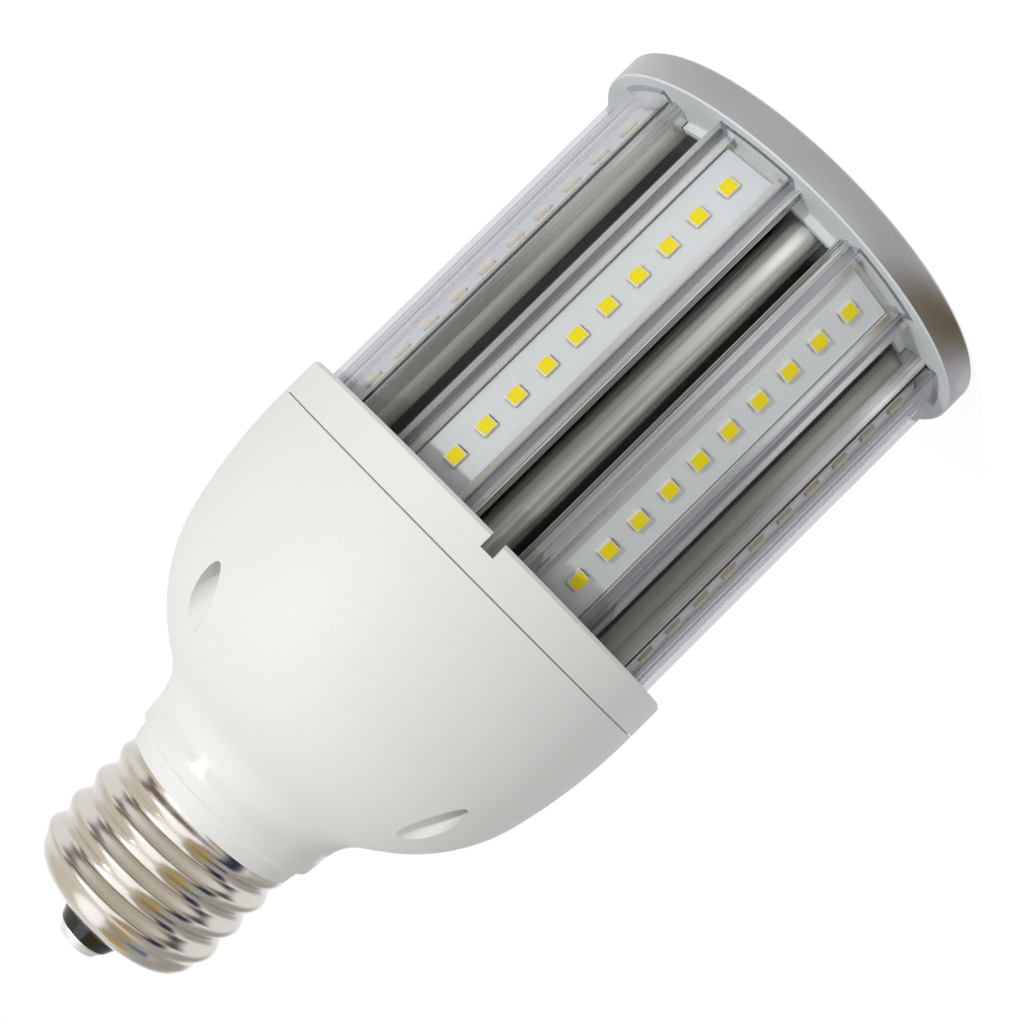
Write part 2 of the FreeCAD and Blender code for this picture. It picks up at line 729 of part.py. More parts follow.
def make_screws():
    """Countersunk cap screws, flat-headed sink screws and the housing's post screws, four of each."""
    cap = new_body("cap_screws", "half_step")
    section = new_sketch(cap, "CapScrewSection", "YZ_Plane")
    draw_closed(section, [
        ("screw_circle", "0"),
        ("screw_circle + screw_head_radius", "0"),
        ("screw_circle + screw_radius", "screw_head_height"),
        ("screw_circle + screw_radius", "cap_height + screw_reach"),
        ("screw_circle", "cap_height + screw_reach"),
    ])
    turned = cap.newObject("PartDesign::Revolution", "CapScrewTurned")
    turned.Profile = section
    turned.ReferenceAxis = (section, ["Edge5"])
    turned.Angle = 360
    repeat_round(cap, [turned], "screw_count", "2 * strip_step")

    groups = (
        ("sink_screws", "half_step", "0", "screw_circle", "collar_end", "screw_radius",
         "collar_floor + screw_reach", "screw_head_radius", "screw_head_height",
         "screw_count", "2 * strip_step"),
        ("housing_screws", "0", "post_x", "post_y", "collar_end + pocket_floor", "post_screw_radius",
         "post_screw_reach", "post_screw_head_radius", "post_screw_head_height",
         "post_count", "post_step"),
    )
    for label, turn, x, y, seat, radius, reach, head_radius, head_height, count, step in groups:
        body = new_body(label, turn)
        shank = shape_cylinder(body, "Additive", x, y, f"{seat} - ({reach})", radius, reach)
        head = shape_cylinder(body, "Additive", x, y, seat, head_radius, head_height)
        repeat_round(body, [shank, head], count, step)


def make_driver():
    """Driver board on the collar's floor, in the plane of the second strip, with its large components."""
    board = new_body("driver_board", "driver_turn")
    section = new_sketch(board, "DriverBoardSection", "XY_Plane", "collar_end")
    half_thickness = "driver_board_thickness / 2"
    half_width = "driver_board_width / 2"
    draw_rectangle(section, f"-{half_thickness}", half_thickness, f"-{half_width}", half_width)
    pad(board, section, "driver_board_height")

    transformer = new_body("driver_transformer", "driver_turn")
    middle = "collar_end + driver_board_height / 2"
    core = new_sketch(transformer, "TransformerCore", "YZ_Plane", half_thickness)
    draw_rectangle(
        core,
        "transformer_place - transformer_width / 2",
        "transformer_place + transformer_width / 2",
        f"{middle} - transformer_height / 2",
        f"{middle} + transformer_height / 2",
    )
    pad(transformer, core, "transformer_depth")
    bobbin = new_sketch(transformer, "TransformerBobbin", "YZ_Plane", half_thickness)
    draw_rectangle(
        bobbin,
        "transformer_place - transformer_width / 2 + bobbin_overhang",
        "transformer_place + transformer_width / 2 - bobbin_overhang",
        f"{middle} - transformer_height / 2 - bobbin_overhang",
        f"{middle} + transformer_height / 2 + bobbin_overhang",
    )
    pad(transformer, bobbin, "transformer_depth - bobbin_overhang")

    for label, radius, length, height in (
        ("driver_capacitor", "capacitor_radius", "capacitor_length", f"{middle} + capacitor_radius"),
        ("driver_choke", "choke_radius", "choke_length", f"{middle} - 2 * choke_radius"),
    ):
        body = new_body(label, "driver_turn")
        section = new_sketch(body, label + "_section", "YZ_Plane", half_thickness)
        draw_circle(section, "-component_offset", height, radius)
        pad(body, section, length)


def make_lead(label, turn, across, points, bends):
    """Wire bent in one plane, straight runs joined by tangent arcs, with its twin where it has one."""
    wires = []
    for offset in across:
        corners = [Vector(number(offset), number(y), number(z)) for y, z in points]
        edges = []
        run_start = corners[0]
        for before, corner, after in zip(corners, corners[1:], corners[2:]):
            back = (before - corner).normalize()
            forth = (after - corner).normalize()
            half_turn = back.getAngle(forth) / 2
            inset = number(bends) / math.tan(half_turn)
            inward = (back + forth).normalize()
            middle = corner + inward * (number(bends) / math.sin(half_turn) - number(bends))
            edges.append(Part.LineSegment(run_start, corner + back * inset).toShape())
            edges.append(Part.Arc(corner + back * inset, middle, corner + forth * inset).toShape())
            run_start = corner + forth * inset
        edges.append(Part.LineSegment(run_start, corners[-1]).toShape())
        path = Part.Wire(edges)
        ring = Part.Wire(Part.Circle(corners[0], corners[1] - corners[0], number("lead_radius")).toShape())
        wires.append(path.makePipeShell([ring], True, False))
    lead = doc.addObject("Part::Feature", label)
    lead.Label = label
    lead.Shape = wires[0] if len(wires) == 1 else Part.makeCompound(wires)
    lead.Placement = Placement(Vector(), Rotation(Vector(0, 0, 1), number(turn)))


def make_leads():
    """Wires from the driver to the contact, to the shell and to the end of the second board."""
    line = doc.addObject("Part::Cylinder", "line_lead")
    line.Label = "line_lead"
    tie(line, Radius="lead_radius", Height="stem_end - driver_top")
    line.setExpression("Placement.Base.z", bound("driver_top"))
    shell_inside = "shell_start + neck_spigot_reach + lead_bend"
    neutral_run = "neck_bore - 3 * lead_radius"
    make_lead(
        "neutral_lead",
        "driver_turn",
        ["0"],
        [
            (neutral_run, "driver_top"),
            (neutral_run, shell_inside),
            ("shell_bore - fit_clearance", shell_inside),
        ],
        "2 * lead_radius",
    )
    make_lead(
        "led_leads",
        "driver_turn",
        ["-lead_spacing / 2", "lead_spacing / 2"],
        [
            ("lead_radius_place", "board_end - lead_lap"),
            ("lead_radius_place", "collar_end + lead_turn_height"),
            ("driver_board_width / 2", "collar_end + lead_turn_height"),
        ],
        "lead_bend",
    )


make_screw_shell()
make_base_end()
make_housing()
make_collar()
make_heat_sink()
for strip in range(round(number("strip_count"))):
    make_board(strip)
    make_chips(strip)
    make_cover(strip)
make_end_cap()
make_screws()
make_driver()
make_leads()
sheet.clear("D1")
doc.recompute()

# Pieces are checked before any is written.
HELPERS = ("housing_form", "housing_core")
KINDS = ("PartDesign::Body", "Part::Cut", "Part::Cylinder", "Part::Feature")
pieces = [item for item in doc.Objects if item.TypeId in KINDS and item.Label not in HELPERS]
for item in doc.Objects:
    if "Invalid" in item.State or "Error" in item.State:
        raise RuntimeError(f"{item.Label} is {item.State}")
for piece in pieces:
    if piece.Shape.isNull() or not piece.Shape.isValid():
        raise RuntimeError(f"{piece.Label} has no valid shape")
for piece in pieces:
    piece.Shape.exportStep(f"parts/{piece.Label}.step")
    print(piece.Label, len(piece.Shape.Solids), round(piece.Shape.Volume, 1))
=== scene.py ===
import math

import bmesh
import bpy
from mathutils import Matrix, Vector


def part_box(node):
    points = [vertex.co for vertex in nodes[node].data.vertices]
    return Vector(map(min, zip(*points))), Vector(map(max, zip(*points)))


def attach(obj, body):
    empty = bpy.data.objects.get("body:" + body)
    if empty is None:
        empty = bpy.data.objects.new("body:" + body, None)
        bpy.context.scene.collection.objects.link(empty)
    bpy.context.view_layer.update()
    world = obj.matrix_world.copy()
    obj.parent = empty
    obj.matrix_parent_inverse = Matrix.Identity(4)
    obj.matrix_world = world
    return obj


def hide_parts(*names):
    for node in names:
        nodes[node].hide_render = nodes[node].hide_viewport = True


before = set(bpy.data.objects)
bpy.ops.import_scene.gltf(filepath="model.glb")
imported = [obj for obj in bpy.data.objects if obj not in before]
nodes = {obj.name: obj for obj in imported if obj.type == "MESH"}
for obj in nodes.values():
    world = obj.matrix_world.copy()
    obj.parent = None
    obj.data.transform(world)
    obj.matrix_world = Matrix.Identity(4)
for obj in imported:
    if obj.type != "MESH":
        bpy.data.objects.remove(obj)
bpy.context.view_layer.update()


# End cap: a round disc of cast aluminium, sandblasted to a satin grey, with a pale matt inner face.
# It closes the free end of the heat sink and is held by four countersunk screws.
def shade(red, green, blue):
    """A colour written as a screen shows it, 0 to 255, as the linear light that shaders take."""
    steps = [value / 255 for value in (red, green, blue)]
    light = [step / 12.92 if step <= 0.04045 else ((step + 0.055) / 1.055) ** 2.4 for step in steps]
    return (*light, 1)


def link(tree, source, output, target, entry):
    """Join one node's output to another node's input."""
    tree.links.new(source.outputs[output], target.inputs[entry])


def ranged(tree, source, output, start, end, low=0.0, high=1.0):
    """A node that maps a value's stretch from start to end onto low to high."""
    node = tree.nodes.new("ShaderNodeMapRange")
    node.inputs["From Min"].default_value = start
    node.inputs["From Max"].default_value = end
    node.inputs["To Min"].default_value = low
    node.inputs["To Max"].default_value = high
    link(tree, source, output, node, "Value")
    return node


def placed(tree):
    """A node that gives X, Y and Z of a point of the lamp."""
    place = tree.nodes.new("ShaderNodeTexCoord")
    parts = tree.nodes.new("ShaderNodeSeparateXYZ")
    link(tree, place, "Object", parts, "Vector")
    return parts


def make_grain():
    """Speckle of a surface, drawn out along the lamp's axis where Draw is under 1."""
    group = bpy.data.node_groups.new("surface_grain", "ShaderNodeTree")
    for name in ("Size", "Draw", "Detail"):
        group.interface.new_socket(name, in_out="INPUT", socket_type="NodeSocketFloat")
    group.interface.new_socket("Mask", in_out="OUTPUT", socket_type="NodeSocketFloat")
    entry = group.nodes.new("NodeGroupInput")
    leave = group.nodes.new("NodeGroupOutput")
    place = group.nodes.new("ShaderNodeTexCoord")
    drawn = group.nodes.new("ShaderNodeCombineXYZ")
    drawn.inputs["X"].default_value = 1
    drawn.inputs["Y"].default_value = 1
    stretch = group.nodes.new("ShaderNodeVectorMath")
    stretch.operation = "MULTIPLY"
    noise = group.nodes.new("ShaderNodeTexNoise")
    link(group, entry, "Draw", drawn, "Z")
    link(group, place, "Object", stretch, 0)
    link(group, drawn, 0, stretch, 1)
    link(group, stretch, 0, noise, "Vector")
    link(group, entry, "Size", noise, "Scale")
    link(group, entry, "Detail", noise, "Detail")
    link(group, noise, "Fac", leave, "Mask")
    return group


grain = make_grain()
grain_detail = 3
grain_low = 0.3
grain_high = 0.7
relief_strength = 0.6


def grained(name, pale, deep, size, draw=1.0, rough=(0.3, 0.5), relief=0.0):
    """A finish whose tone, roughness and relief follow the grain; the shader comes back with it."""
    material = bpy.data.materials.new(name)
    material.use_nodes = True
    tree = material.node_tree
    shader = tree.nodes["Principled BSDF"]
    speckle = tree.nodes.new("ShaderNodeGroup")
    speckle.name = "speckle"
    speckle.node_tree = grain
    speckle.inputs["Size"].default_value = size
    speckle.inputs["Draw"].default_value = draw
    speckle.inputs["Detail"].default_value = grain_detail
    tones = tree.nodes.new("ShaderNodeValToRGB")
    tones.name = "tones"
    tones.color_ramp.elements[0].position = grain_low
    tones.color_ramp.elements[0].color = deep
    tones.color_ramp.elements[1].position = grain_high
    tones.color_ramp.elements[1].color = pale
    polish = ranged(tree, speckle, "Mask", 0, 1, low=rough[0], high=rough[1])
    polish.name = "polish"
    link(tree, speckle, "Mask", tones, "Fac")
    link(tree, tones, "Color", shader, "Base Color")
    link(tree, polish, "Result", shader, "Roughness")
    if relief:
        bump = tree.nodes.new("ShaderNodeBump")
        bump.name = "relief"
        bump.inputs["Strength"].default_value = relief_strength
        bump.inputs["Distance"].default_value = relief
        link(tree, speckle, "Mask", bump, "Height")
        link(tree, bump, "Normal", shader, "Normal")
    return material, shader


def coat_node(name, material):
    """Give a solid of the frame its finish."""
    nodes[name].material_slots[0].material = material


cap_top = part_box("end_cap")[1].z
lug_height = 0.0015
face_step = 0.0003
face_blend = 0.00003
face_height = cap_top - lug_height - face_step
face_tone = shade(222, 228, 228)
face_rough = 0.65
satin_cast, shader = grained("satin_cast", pale=shade(184, 184, 188), deep=shade(174, 174, 178), size=3600,
                             rough=(0.32, 0.42), relief=0.00002)
tree = satin_cast.node_tree
inside = ranged(tree, placed(tree), "Z", face_height - face_blend, face_height + face_blend)
bare = ranged(tree, inside, "Result", 0, 1, low=1, high=0)
tone = tree.nodes.new("ShaderNodeMix")
tone.data_type = "RGBA"
tone.inputs["B"].default_value = face_tone
matt = tree.nodes.new("ShaderNodeMix")
matt.inputs["B"].default_value = face_rough
link(tree, inside, "Result", tone, "Factor")
link(tree, inside, "Result", matt, "Factor")
link(tree, tree.nodes["tones"], "Color", tone, "A")
link(tree, tree.nodes["polish"], "Result", matt, "A")
link(tree, tone, "Result", shader, "Base Color")
link(tree, matt, "Result", shader, "Roughness")
link(tree, bare, "Result", shader, "Metallic")
coat_node("end_cap", satin_cast)


# Cap screws, sink screws and housing screws: zinc-plated steel.
# They clamp the cap and the collar to the heat sink, and the housing to the collar.
zinc_steel, shader = grained("zinc_steel", pale=shade(176, 176, 172), deep=shade(150, 150, 148), size=2600,
                             rough=(0.28, 0.42))
shader.inputs["Metallic"].default_value = 1
for name in ("cap_screws", "sink_screws", "housing_screws"):
    coat_node(name, zinc_steel)


# Heat sink: one aluminium extrusion with eight board carriers and eight round-headed fins.
# Left as it came from the press, matt deep in the channels and rubbed bare on the outer lips.
channel_depth = 0.0335
lip_start = 0.0365
channel_metal = 0.7
lip_metal = 0.85
channel_rough = 0.24


def axis_distance(tree):
    """A node whose Value is a point's distance from the lamp's axis."""
    place = tree.nodes.new("ShaderNodeTexCoord")
    across = tree.nodes.new("ShaderNodeVectorMath")
    across.operation = "MULTIPLY"
    across.inputs[1].default_value = (1, 1, 0)
    reach = tree.nodes.new("ShaderNodeVectorMath")
    reach.operation = "LENGTH"
    link(tree, place, "Object", across, 0)
    link(tree, across, "Vector", reach, 0)
    return reach


drawn_aluminium, shader = grained("drawn_aluminium", pale=shade(216, 217, 214), deep=shade(209, 210, 207),
                                  size=2600, draw=0.001, rough=(0.15, 0.2))
tree = drawn_aluminium.node_tree
rubbed = ranged(tree, axis_distance(tree), "Value", channel_depth, lip_start)
bare = ranged(tree, rubbed, "Result", 0, 1, low=channel_metal, high=lip_metal)
matt = tree.nodes.new("ShaderNodeMix")
matt.inputs["A"].default_value = channel_rough
link(tree, rubbed, "Result", matt, "Factor")
link(tree, tree.nodes["polish"], "Result", matt, "B")
link(tree, bare, "Result", shader, "Metallic")
link(tree, matt, "Result", shader, "Roughness")
coat_node("heat_sink", drawn_aluminium)


# LED boards: narrow aluminium strips under white solder mask, slid between the carrier's lips.
# The mask is slightly glossy and a little blue.
board_mask = grained("board_mask", pale=shade(211, 217, 219), deep=shade(206, 213, 215), size=900,
                     rough=(0.3, 0.4))[0]
STRIPS = range(1, 9)
for strip in STRIPS:
    coat_node(f"led_board_{strip}", board_mask)


# LED packages: moulded white frames, tinted cream by a painted glow of the gel's light, filled with yellow
# phosphor gel, on two tinned tabs.
# Ten are soldered in a row on each board, with their long side along the lamp.
# Seen aslant, the gel's colour is painted pale: a painted sheen.
package_width = 0.0028
package_length = 0.0035
package_height = 0.0008
package_count = 10
frame_height = 0.00074
frame_corner = 0.00012
frame_edge = 0.00006
tab_reach = 0.00014
tab_width = 0.002
tab_height = 0.00022
tab_corner = 0.00004
gel_width = 0.0024
gel_length = 0.0026
gel_floor = 0.0006
gel_corner = 0.0005
gel_edge = 0.00004
gel_shine = 0.2
painted_sheen_tone = shade(220, 217, 210)
painted_sheen_start = 0.3
painted_sheen_end = 0.7
painted_sheen_cover = 0.8
corner_segments = 4
rim_segments = 2


def add_slab(bm, width, length, low, high, corner, rim, slot, shift=0.0):
    """A slab on the z axis, or shifted along y, with rounded corners and a rounded upper edge."""
    made = bmesh.ops.create_cube(bm, size=1)["verts"]
    bmesh.ops.scale(bm, vec=(width, length, high - low), verts=made)
    bmesh.ops.translate(bm, vec=(0, shift, (low + high) / 2), verts=made)
    for face in {face for vert in made for face in vert.link_faces}:
        face.material_index = slot
    edges = {edge for vert in made for edge in vert.link_edges}
    uprights = [edge for edge in edges if abs(edge.verts[0].co.z - edge.verts[1].co.z) > (high - low) / 2]
    bmesh.ops.bevel(bm, geom=uprights, offset=corner, offset_type="OFFSET", affect="EDGES",
                    segments=corner_segments, profile=0.5, material=-1)
    lid = max(bm.faces, key=lambda face: face.calc_center_median().z)
    bmesh.ops.bevel(bm, geom=list(lid.edges), offset=rim, offset_type="OFFSET", affect="EDGES",
                    segments=rim_segments, profile=0.5, material=-1)


def add_package(bm):
    """One package that lies on z = 0, its length along y."""
    frame_slot, gel_slot, tab_slot = range(3)
    for end in (-1, 1):
        add_slab(bm, tab_width, 2 * tab_reach, 0, tab_height, tab_corner, tab_corner, tab_slot,
                 shift=end * (package_length / 2 - tab_reach))
    add_slab(bm, package_width, package_length - 2 * tab_reach, 0, frame_height, frame_corner, frame_edge,
             frame_slot)
    add_slab(bm, gel_width, gel_length, gel_floor, package_height, gel_corner, gel_edge, gel_slot)


phosphor_gel, shader = grained("phosphor_gel", pale=shade(243, 227, 8), deep=shade(235, 216, 5), size=9000,
                               rough=(0.4, 0.5))
shader.inputs["Specular IOR Level"].default_value = gel_shine
tree = phosphor_gel.node_tree
# Painted sheen: the gel's colour fades to a pale grey-cream where it is seen aslant.
slant = tree.nodes.new("ShaderNodeLayerWeight")
painted_sheen_mask = ranged(tree, slant, "Facing", painted_sheen_start, painted_sheen_end, high=painted_sheen_cover)
painted_sheen_mix = tree.nodes.new("ShaderNodeMix")
painted_sheen_mix.data_type = "RGBA"
painted_sheen_mix.inputs["B"].default_value = painted_sheen_tone
link(tree, painted_sheen_mask, "Result", painted_sheen_mix, "Factor")
link(tree, tree.nodes["tones"], "Color", painted_sheen_mix, "A")
link(tree, painted_sheen_mix, "Result", shader, "Base Color")
# The frame's white is tinted cream: a painted glow of yellow light scattered from the gel.
frame_with_painted_glow = grained("frame_with_painted_glow", pale=shade(226, 220, 196), deep=shade(218, 212, 188), size=5000,
                        rough=(0.5, 0.6))[0]
tinned_tab, shader = grained("tinned_tab", pale=shade(186, 186, 184), deep=shade(160, 160, 158), size=5000,
                             rough=(0.25, 0.4))
shader.inputs["Metallic"].default_value = 1


def finish_piece(name, bm, materials):
    """Turn a mesh under construction into an object of the lamp."""
    mesh = bpy.data.meshes.new(name)
    bm.to_mesh(mesh)
    bm.free()
    for material in materials:
        mesh.materials.append(material)
    piece = bpy.data.objects.new(name, mesh)
    bpy.context.scene.collection.objects.link(piece)
    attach(piece, "root")
    return piece


along = Vector((0, 0, 1))
for strip in STRIPS:
    low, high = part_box(f"led_chips_{strip}")
    middle = (low + high) / 2
    out = Vector((middle.x, middle.y, 0)).normalized()
    pitch = (high.z - low.z - package_length) / (package_count - 1)
    board = nodes[f"led_board_{strip}"].data
    seat = max(Vector((vert.co.x, vert.co.y, 0)).dot(out) for vert in board.vertices)
    turn = Matrix((along.cross(out) * -1, along, out)).transposed().to_4x4()
    row = bmesh.new()
    for place in range(package_count):
        single = bmesh.new()
        add_package(single)
        height = low.z + package_length / 2 + place * pitch
        single.transform(Matrix.Translation(out * seat + along * height) @ turn)
        template = bpy.data.meshes.new("package")
        single.to_mesh(template)
        single.free()
        row.from_mesh(template)
        bpy.data.meshes.remove(template)
    packages = finish_piece(f"led_packages_{strip}", row, [frame_with_painted_glow, phosphor_gel, tinned_tab])
    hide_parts(f"led_chips_{strip}")


# Clear covers: extruded arches of clear polycarbonate, one over each board.
# Their two feet slide into the grooves of the carrier. The flanks are a little milky. Seen aslant, the
# plastic's tint is painted a darker lavender, a painted haze of reflections, and a lit veil covers what lies
# under it.
flank_edge = math.radians(10.5)
crown_edge = math.radians(14.5)
foot_reach = 0.0392
flank_start = 0.0398
crown_tint = (0.985, 0.985, 0.99, 1)
flank_tint = (0.87, 0.87, 0.9, 1)
painted_haze_tint = (0.68, 0.68, 0.725, 1)
painted_haze_start = 0.4
painted_haze_end = 0.85
veil_tone = shade(214, 214, 223)
veil_start = 0.3
veil_end = 0.65
veil_cover = 0.45
cover_rough = 0.04
cover_index = 1.005
cover_gloss = 0.1
cover_gloss_rough = 0.12
shadow_tint = (0.94, 0.935, 0.96, 1)


def mixed(tree, mask, output, first, second):
    """A shader that goes from the first node's to the second's as a mask rises."""
    node = tree.nodes.new("ShaderNodeMixShader")
    link(tree, mask, output, node, "Fac")
    link(tree, first, 0, node, 1)
    link(tree, second, 0, node, 2)
    return node


clear_plastic = bpy.data.materials.new("clear_polycarbonate")
clear_plastic.use_nodes = True
tree = clear_plastic.node_tree
shader = tree.nodes["Principled BSDF"]
parts = placed(tree)
round_axis = tree.nodes.new("ShaderNodeMath")
round_axis.operation = "ARCTAN2"
in_sector = tree.nodes.new("ShaderNodeMath")
in_sector.operation = "PINGPONG"
in_sector.inputs[1].default_value = math.pi / len(STRIPS)
link(tree, parts, "Y", round_axis, 0)
link(tree, parts, "X", round_axis, 1)
link(tree, round_axis, 0, in_sector, 0)
flank = ranged(tree, in_sector, 0, flank_edge, crown_edge, low=1, high=0)
above = ranged(tree, axis_distance(tree), "Value", foot_reach, flank_start)
milky = tree.nodes.new("ShaderNodeMath")
milky.operation = "MULTIPLY"
link(tree, above, "Result", milky, 0)
link(tree, flank, "Result", milky, 1)
milk = tree.nodes.new("ShaderNodeMix")
milk.data_type = "RGBA"
milk.inputs["A"].default_value = crown_tint
milk.inputs["B"].default_value = flank_tint
link(tree, milky, 0, milk, "Factor")
# Painted haze: the tint darkens to lavender where the cover is seen aslant.
slant = tree.nodes.new("ShaderNodeLayerWeight")
painted_haze_mask = ranged(tree, slant, "Facing", painted_haze_start, painted_haze_end)
painted_haze_mix = tree.nodes.new("ShaderNodeMix")
painted_haze_mix.data_type = "RGBA"
painted_haze_mix.inputs["B"].default_value = painted_haze_tint
link(tree, painted_haze_mask, "Result", painted_haze_mix, "Factor")
link(tree, milk, "Result", painted_haze_mix, "A")
link(tree, painted_haze_mix, "Result", shader, "Base Color")
shader.inputs["Roughness"].default_value = cover_rough
shader.inputs["IOR"].default_value = cover_index
shader.inputs["Transmission Weight"].default_value = 1
shader.inputs["Coat Weight"].default_value = cover_gloss
shader.inputs["Coat Roughness"].default_value = cover_gloss_rough
veil = tree.nodes.new("ShaderNodeBsdfDiffuse")
veil.inputs["Color"].default_value = veil_tone
aslant = ranged(tree, slant, "Facing", veil_start, veil_end, high=veil_cover)
veiled = mixed(tree, aslant, "Result", shader, veil)
passing = tree.nodes.new("ShaderNodeBsdfTransparent")
passing.inputs["Color"].default_value = shadow_tint
rays = tree.nodes.new("ShaderNodeLightPath")
either = mixed(tree, rays, "Is Shadow Ray", veiled, passing)
link(tree, either, 0, tree.nodes["Material Output"], "Surface")
for strip in STRIPS:
    coat_node(f"clear_cover_{strip}", clear_plastic)


# Collar ring and driver housing: injection-moulded plastic in warm white, with a fine spark texture.
# The collar grips the heat sink's end, and the dome is screwed to it at four pockets.
# A narrow line round the neck is polished.
moulding_shine = 0.4
polish_height = 0.1462
polish_reach = 0.0006
polish_fade = 0.0022
polish_rough = 0.12
warm_white, shader = grained("warm_white_moulding", pale=shade(239, 239, 236), deep=shade(236, 236, 233),
                             size=2600, rough=(0.5, 0.6), relief=0.000008)
shader.inputs["Specular IOR Level"].default_value = moulding_shine
tree = warm_white.node_tree
apart = tree.nodes.new("ShaderNodeMath")
apart.operation = "SUBTRACT"
apart.inputs[1].default_value = polish_height
either_way = tree.nodes.new("ShaderNodeMath")
either_way.operation = "ABSOLUTE"
link(tree, placed(tree), "Z", apart, 0)
link(tree, apart, 0, either_way, 0)
smooth = ranged(tree, either_way, 0, polish_reach, polish_fade, low=1, high=0)
gloss = tree.nodes.new("ShaderNodeMix")
gloss.inputs["B"].default_value = polish_rough
link(tree, smooth, "Result", gloss, "Factor")
link(tree, tree.nodes["polish"], "Result", gloss, "A")
link(tree, gloss, "Result", shader, "Roughness")
fade = ranged(tree, smooth, "Result", 0, 1, low=1, high=0)
texture = tree.nodes.new("ShaderNodeMath")
texture.operation = "MULTIPLY"
link(tree, fade, "Result", texture, 0)
link(tree, tree.nodes["speckle"], "Mask", texture, 1)
link(tree, texture, 0, tree.nodes["relief"], "Height")
for name in ("collar_ring", "driver_housing"):
    coat_node(name, warm_white)


# Driver: a circuit board with its transformer, capacitor and choke, shut inside the dome.
# Wires run from it to the contact, the shell and one of the LED boards.
for name, pale, deep, size in (
    ("driver_board", shade(38, 98, 62), shade(28, 84, 52), 1200),
    ("driver_transformer", shade(70, 66, 60), shade(48, 45, 42), 1500),
    ("driver_capacitor", shade(34, 40, 66), shade(26, 30, 54), 1500),
    ("driver_choke", shade(164, 92, 48), shade(132, 70, 36), 2500),
    ("line_lead", shade(196, 44, 36), shade(176, 36, 30), 2500),
    ("neutral_lead", shade(40, 40, 44), shade(30, 30, 34), 2500),
    ("led_leads", shade(220, 218, 208), shade(200, 198, 190), 2500),
):
    coat_node(name, grained(name + "_finish", pale, deep, size, rough=(0.35, 0.55))[0])


# Screw shell: thin nickel-plated brass, pressed with a rounded thread rolled into it.
# It is crimped on the housing's neck and closes in on the insulator at its end.
shell_low, shell_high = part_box("screw_shell")
crest_radius = shell_high.x
root_radius = 0.0184
shell_wall = 0.0005
thread_pitch = 0.00635
thread_first = 0.0033
thread_fade = 0.003
rim_flare = 0.8
straight_length = 0.023
shoulder_radius = 0.004
shoulder_angle = math.radians(65)
crimp_radius = 0.0093
crimp_rise = 0.0028
mouth_radius = 0.0072
sharp_turn = math.radians(40)
spin_steps = 160
wall_steps = 96
shoulder_steps = 16
shoulder_steps_inside = 8
weld_distance = 1e-6


def spin_closed(bm, outline, steps):
    """Turn a closed outline of (radius, height) points once round the lamp's axis."""
    verts = [bm.verts.new((radius, 0, height)) for radius, height in outline]
    edges = [bm.edges.new((vert, verts[(place + 1) % len(verts)])) for place, vert in enumerate(verts)]
    bmesh.ops.spin(bm, geom=verts + edges, cent=(0, 0, 0), axis=(0, 0, 1), angle=math.tau,
                   steps=steps, use_merge=True, use_duplicate=False)
    bmesh.ops.remove_doubles(bm, verts=bm.verts, dist=weld_distance)
    bmesh.ops.recalc_face_normals(bm, faces=bm.faces)


def arc(radius, centre, start, end, count):
    """Points of an arc in the outline's plane, end points among them."""
    turns = [start + (end - start) * place / count for place in range(count + 1)]
    return [(centre[0] + radius * math.cos(turn), centre[1] + radius * math.sin(turn)) for turn in turns]


shell_bottom = shell_low.z
shell_end = shell_bottom + straight_length
shoulder_centre = (root_radius - shoulder_radius, shell_end)
wall_heights = [shell_bottom + straight_length * step / wall_steps for step in range(wall_steps)]
outer = [(root_radius, height) for height in wall_heights]
outer += arc(shoulder_radius, shoulder_centre, 0, shoulder_angle, shoulder_steps)
crimp_height = outer[-1][1] + crimp_rise
outer += [(crimp_radius, crimp_height), (mouth_radius, shell_high.z)]
inner = [(mouth_radius, shell_high.z - shell_wall), (crimp_radius, crimp_height - shell_wall)]
inner += arc(shoulder_radius - shell_wall, shoulder_centre, shoulder_angle, 0, shoulder_steps_inside)
inner += [(root_radius - shell_wall, shell_bottom)]
rolled = bmesh.new()
spin_closed(rolled, outer + inner, spin_steps)
for vert in rolled.verts:
    radius = math.hypot(vert.co.x, vert.co.y)
    if radius < root_radius - shell_wall / 2 and vert.co.z < shell_end:
        continue
    if vert.co.z > shell_end + thread_fade / 2:
        continue
    turn = math.atan2(vert.co.y, vert.co.x) / math.tau
    climb = (vert.co.z - shell_bottom - thread_first) / thread_pitch - turn
    wave = 0.5 + 0.5 * math.cos(math.tau * climb)
    start = min(1, (vert.co.z - shell_bottom) / thread_fade)
    stop = min(1, (shell_end + thread_fade / 2 - vert.co.z) / thread_fade)
    rise = (wave * start + rim_flare * (1 - start)) * stop
    grown = radius + (crest_radius - root_radius) * rise
    vert.co.x *= grown / radius
    vert.co.y *= grown / radius
for face in rolled.faces:
    face.smooth = True
for edge in rolled.edges:
    edge.smooth = edge.calc_face_angle() < sharp_turn
nickel_plate, shader = grained("nickel_plate", pale=shade(208, 204, 198), deep=shade(204, 200, 194), size=400,
                               rough=(0.15, 0.19))
shader.inputs["Metallic"].default_value = 1
screw_thread = finish_piece("screw_thread_shell", rolled, [nickel_plate])
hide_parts("screw_shell")


# Base insulator and centre contact: black glass fused into the shell's mouth, and a soldered brass button.
# The contact's stem passes through the insulator to the line wire.
tip_metal = 0.6
black_glass = grained("black_insulator_glass", pale=shade(20, 20, 26), deep=shade(12, 12, 16), size=900,
                      rough=(0.08, 0.16))[0]
coat_node("base_insulator", black_glass)
solder_tip, shader = grained("solder_tip", pale=shade(238, 238, 241), deep=shade(232, 232, 235), size=700,
                             rough=(0.4, 0.45))
shader.inputs["Metallic"].default_value = tip_metal
coat_node("centre_contact", solder_tip)


